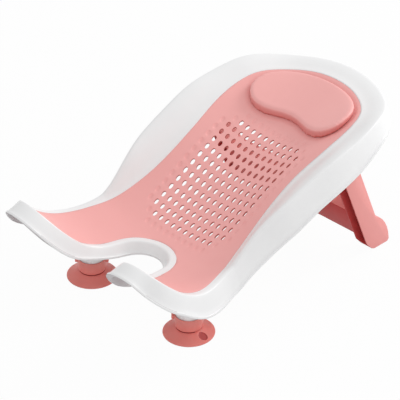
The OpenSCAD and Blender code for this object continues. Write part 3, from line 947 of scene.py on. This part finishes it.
def cup_piece(name, node, side, marked):
    """One cup with its tabs, and with the dimple on the marked one."""
    work = bmesh.new()
    ring = [work.verts.new((r, 0, z)) for r, z in cup_profile]
    for a, b in zip(ring, ring[1:]):
        work.edges.new((a, b))
    bmesh.ops.spin(
        work, geom=work.verts[:] + work.edges[:], cent=(0, 0, 0), axis=(0, 0, 1),
        angle=2 * math.pi, steps=cup_steps, use_merge=True,
    )
    bmesh.ops.remove_doubles(work, verts=work.verts, dist=WELD)
    if marked:
        press_mark(work)
    for turn in tab_turns:
        add_tab(work, turn)
    bmesh.ops.recalc_face_normals(work, faces=work.faces)
    bmesh.ops.translate(work, verts=work.verts, vec=(side * cup_spacing / 2, 0, 0))
    cup = place(work, name, seat_body, stands_for=[node], sharp_angle=34)
    wear(cup, cup_rubber)
    cup.data.materials.append(mark_and_groove_shade.material)
    # The groove under the neck is painted darker as shade; the pressed mark takes the same darker
    # rubber as its own colour.
    axis = Vector((side * cup_spacing / 2, 0))
    for face in cup.data.polygons:
        spot = face.center.xy - axis
        groove_floor = cone_top - 0.2 * MM < face.center.z < cone_top + groove_height
        in_groove = groove_floor and spot.length < foot_radius - 0.6 * MM
        in_mark = marked and (spot - mark_place).length < mark_radius * 0.97 and (
            face.normal.z > 0.2 and face.center.z < cone_top
        )
        if in_groove or in_mark:
            face.material_index = 1
    return cup


cups = [
    cup_piece("suction_cup_left", "cup_left", -1, False),
    cup_piece("suction_cup_right", "cup_right", 1, True),
]
print("faces of the cups:", [len(cup.data.polygons) for cup in cups])

# %% [markdown]
# ## The folding leg and its bearings
# The leg is one moulding with crisp channels. Real mould edges are never knife-sharp, so
# the welded copy has its flat faces joined and its edges bevelled by a fraction of a
# millimetre, which catches the light as the real edges do. The channels and the front of
# the crossbar take the darker finish, painted shade that stands in for their shadow.

# %% Leg and bearings
def bevelled(node, name, body, width, finish):
    """A copy of a solid with its flat faces joined and its sharp edges bevelled."""
    work = copy_of(node)
    bmesh.ops.dissolve_limit(
        work, angle_limit=math.radians(1), verts=work.verts, edges=work.edges, delimit={"NORMAL"},
    )
    sharp = [
        e for e in work.edges
        if len(e.link_faces) == 2 and e.calc_face_angle() > math.radians(28)
    ]
    bmesh.ops.bevel(
        work, geom=sharp, offset=width, affect="EDGES", segments=2, profile=0.5,
        material=-1, clamp_overlap=True, loop_slide=True,
    )
    piece = place(work, name, body, stands_for=[node], sharp_angle=35)
    wear(piece, finish)
    return piece


leg = bevelled("leg", "folding_leg", leg_body, 0.7 * MM, leg_plastic)
leg.data.materials.append(leg_shade.material)
arm_middle = 125 * MM
arm_reach = 14.2 * MM
channel_front = -0.35
channel_wall = 0.5
crossbar_front = -0.6
# Faces in the arms' channels and on the crossbar's front take the painted shade.
for face in leg.data.polygons:
    across = abs(face.center.x) - arm_middle
    inwards = -face.normal.x * math.copysign(1, face.center.x * across)
    in_channel = abs(across) < arm_reach and (
        face.normal.y < channel_front or inwards > channel_wall
    )
    on_crossbar = across < -arm_reach and face.normal.y < crossbar_front
    if in_channel or on_crossbar:
        face.material_index = 1
for side in ("left", "right"):
    bevelled("bearing_" + side, "hinge_bearing_" + side, seat_body, 0.4 * MM, white_plastic)
print("leg faces:", len(leg.data.polygons))

# %% [markdown]
# ## Floor and light
# The photograph has a plain white ground. The floor glows white towards the camera and
# keeps a faint share of real light and shadow, so that the seat still stands on it.

# %% Floor
floor_half = 6
glow_share = 0.965
floor_mesh = bmesh.new()
bmesh.ops.create_grid(floor_mesh, x_segments=1, y_segments=1, size=floor_half)
floor_data = bpy.data.meshes.new("floor")
floor_mesh.to_mesh(floor_data)
floor_mesh.free()
floor = bpy.data.objects.new("floor", floor_data)
bpy.context.scene.collection.objects.link(floor)

floor_finish = Finish("floor_white")
floor_finish.set(Base_Color=(0.72, 0.72, 0.72, 1), Roughness=0.9)
seen = floor_finish.node("ShaderNodeLightPath", output="Is Camera Ray")
mirrored = floor_finish.node("ShaderNodeLightPath", output="Is Glossy Ray")
passed = floor_finish.node("ShaderNodeLightPath", output="Is Transmission Ray")
glow = floor_finish.node("ShaderNodeEmission", {}, {"Color": (1, 1, 1, 1), "Strength": 1.0})
plain = Signal(floor_finish, floor_finish.shader.outputs[0])
ground = floor_finish.node("ShaderNodeMixShader", {}, {
    0: (seen + mirrored + passed) * glow_share, 1: plain, 2: glow,
})
floor_finish.link(ground, floor_finish.tree.nodes["Material Output"].inputs["Surface"])
floor.data.materials.append(floor_finish.material)
print("floor width in m:", 2 * floor_half)

# %% [markdown]
# ## Studio light
# The world is white and lights all sides evenly. One large soft lamp stands behind the
# seat and above it, which is where the light of the photograph comes from, and a weak one
# at the front right opens the side that faces the camera.

# %% World and lamps
world = bpy.data.worlds.new("studio")
world.use_nodes = True
sky = world.node_tree.nodes["Background"]
sky.inputs["Color"].default_value = (1, 1, 1, 1)
sky.inputs["Strength"].default_value = 0.78
bpy.context.scene.world = world
lamp_aim = Vector((0, 0.15, 0.1))


def soft_lamp(name, where, size, power):
    """A round area lamp that looks at the seat; size in metres, power in watts."""
    data = bpy.data.lights.new(name, "AREA")
    data.shape = "DISK"
    data.size = size
    data.energy = power
    lamp = bpy.data.objects.new(name, data)
    lamp.location = where
    lamp.rotation_euler = (lamp_aim - Vector(where)).to_track_quat("-Z", "Y").to_euler()
    bpy.context.scene.collection.objects.link(lamp)
    return lamp


soft_lamp("key", (0.7, 2.6, 1.5), 1.2, 36)
soft_lamp("fill", (2.0, -0.8, 0.8), 0.9, 3)
print("lamps:", len(bpy.data.lights))
